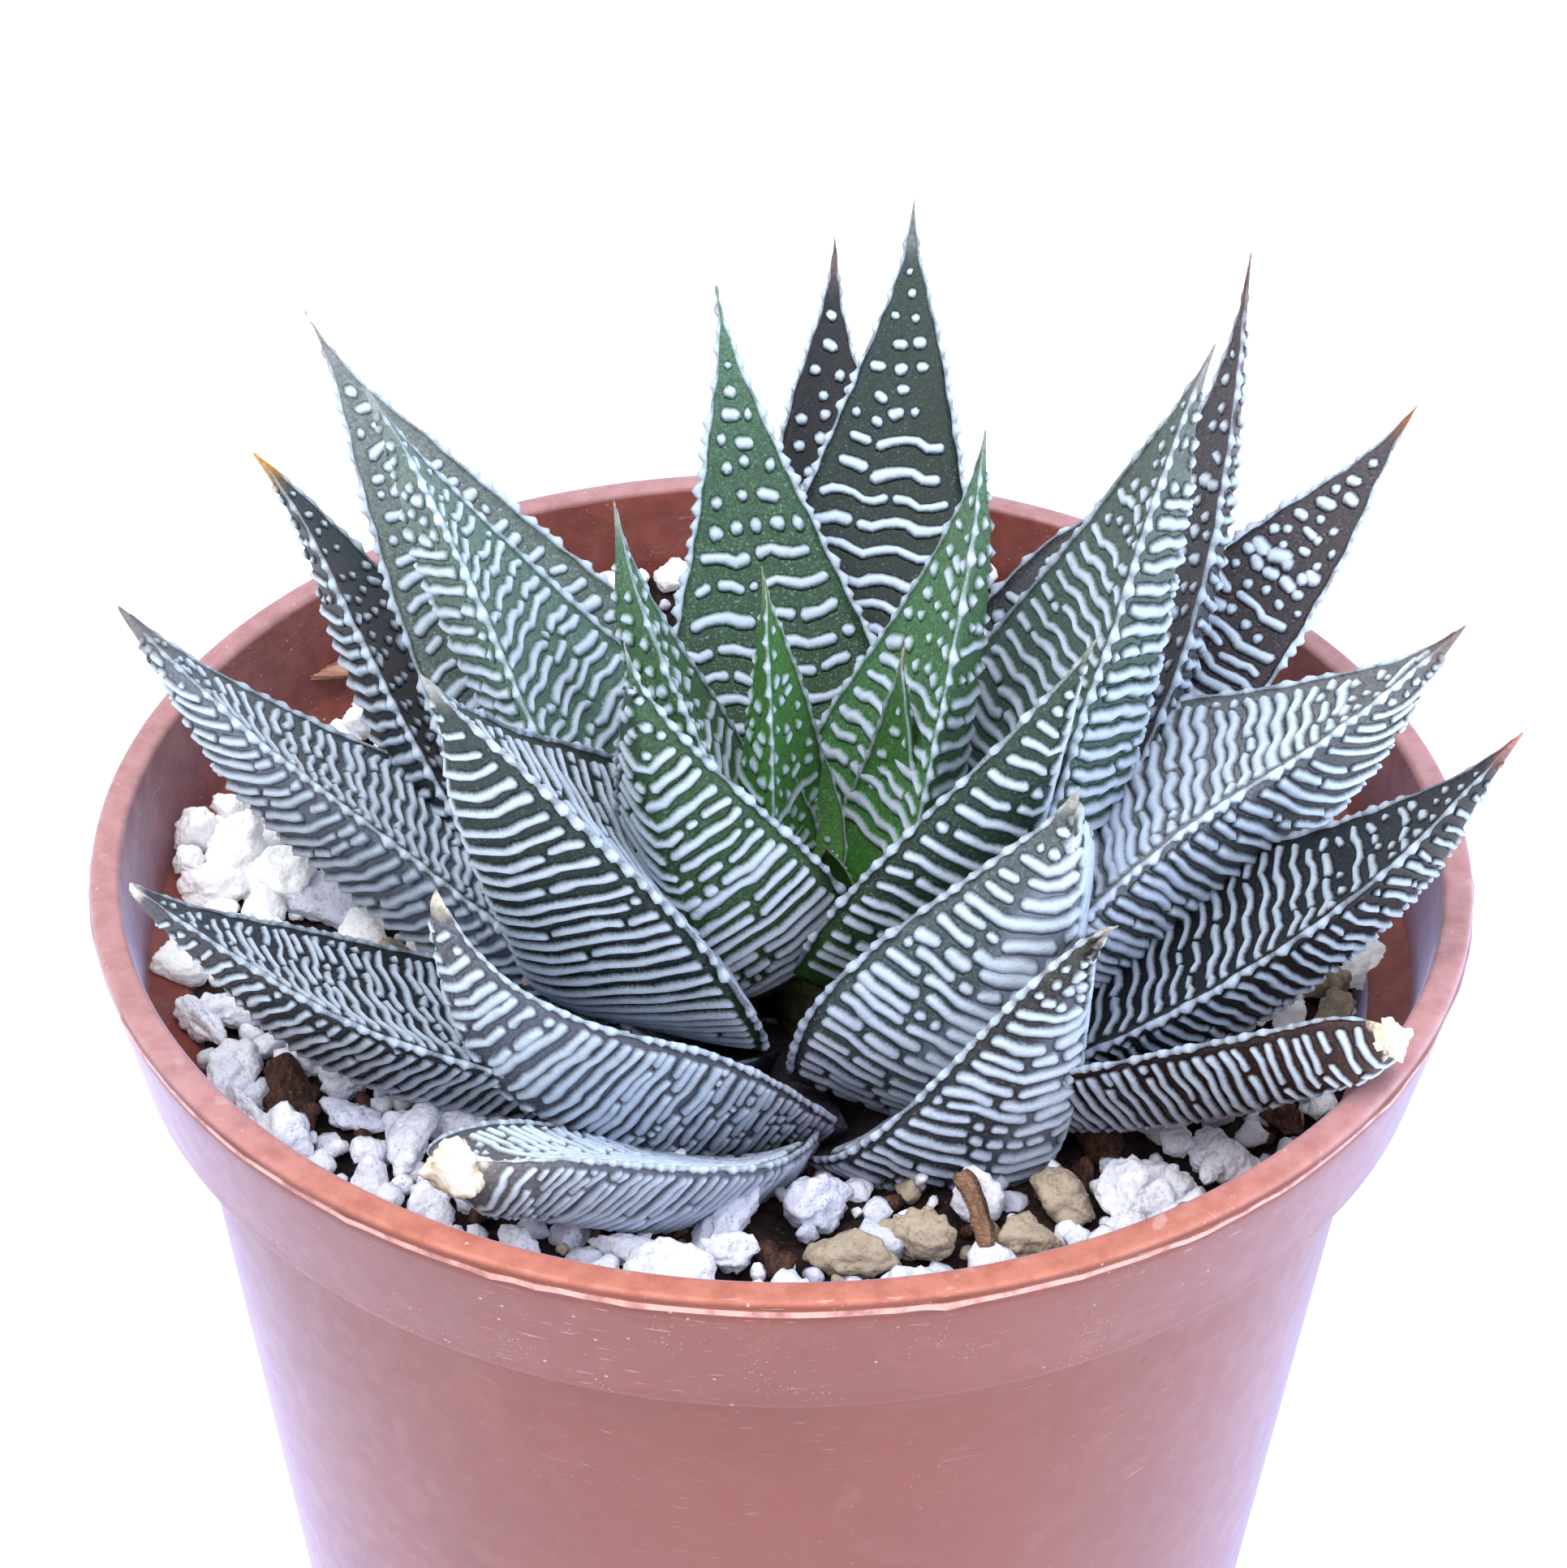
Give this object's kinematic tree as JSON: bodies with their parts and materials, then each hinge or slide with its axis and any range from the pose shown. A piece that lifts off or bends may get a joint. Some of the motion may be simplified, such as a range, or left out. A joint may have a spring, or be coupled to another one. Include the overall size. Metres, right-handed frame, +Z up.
{
  "type": "potted haworthia",
  "caption": "Haworthia rosette of pointed dark leaves with raised white bands, in a terracotta-coloured plastic nursery pot topped with pumice and bark.",
  "frame": {"origin": "centre of the pot's flat underside", "axes": "+Z up, -Y towards the side the picture was taken from"},
  "size_m": [0.085, 0.085, 0.1075],
  "materials": {
    "pot_plastic": "satin, lightly scratched, dusty",
    "mix": "rough mixed grit",
    "pumice": "rough, pitted",
    "grit": "rough, pitted",
    "bark": "rough, fibrous",
    "straw": "dry, fibrous",
    "dry_leaf": "dry, crumpled",
    "stem_skin": "matt, scarred",
    "leaf_young": "waxy, bright green with raised white bands",
    "leaf_mid": "waxy, grey-green with raised white bands",
    "leaf_old": "waxy, purple-brown with raised white bands"
  },
  "bodies": {
    "root": {"pot": "pot_plastic", "potting_mix": "mix", "stem": "stem_skin", "leaf_01": "leaf_mid", "leaf_02": "leaf_mid", "leaf_03": "leaf_old", "leaf_04": "leaf_mid", "leaf_05": "leaf_mid", "leaf_06": "leaf_old", "leaf_07": "leaf_mid", "leaf_08": "leaf_old", "leaf_09": "leaf_mid", "leaf_10": "leaf_old", "leaf_11": "leaf_mid", "leaf_12": "leaf_young", "leaf_13": "leaf_young", "leaf_14": "leaf_young", "leaf_15": "leaf_young", "leaf_16": "leaf_young", "leaf_17": "leaf_young", "leaf_18": "leaf_young", "leaf_19": "leaf_young", "leaf_20": "leaf_mid", "leaf_21": "leaf_mid", "leaf_22": "leaf_mid", "leaf_23": "leaf_mid", "leaf_24": "leaf_old", "leaf_25": "leaf_mid", "leaf_26": "leaf_old", "leaf_27": "leaf_old", "leaf_28": "leaf_old", "pumice_01": "pumice", "pumice_02": "pumice", "pumice_03": "pumice", "pumice_04": "pumice", "pumice_05": "pumice", "pumice_06": "pumice", "pumice_07": "pumice", "pumice_08": "pumice", "bark_01": "bark", "pumice_09": "pumice", "pumice_10": "pumice", "pumice_11": "pumice", "grit_01": "grit", "pumice_12": "pumice", "pumice_13": "pumice", "pumice_14": "pumice", "grit_02": "grit", "grit_03": "grit", "grit_04": "grit", "grit_05": "grit", "pumice_15": "pumice", "pumice_16": "pumice", "bark_02": "bark", "pumice_17": "pumice", "straw_01": "straw", "fibre_01": "straw", "leaf_scrap": "dry_leaf"}
  },
  "joints": []
}
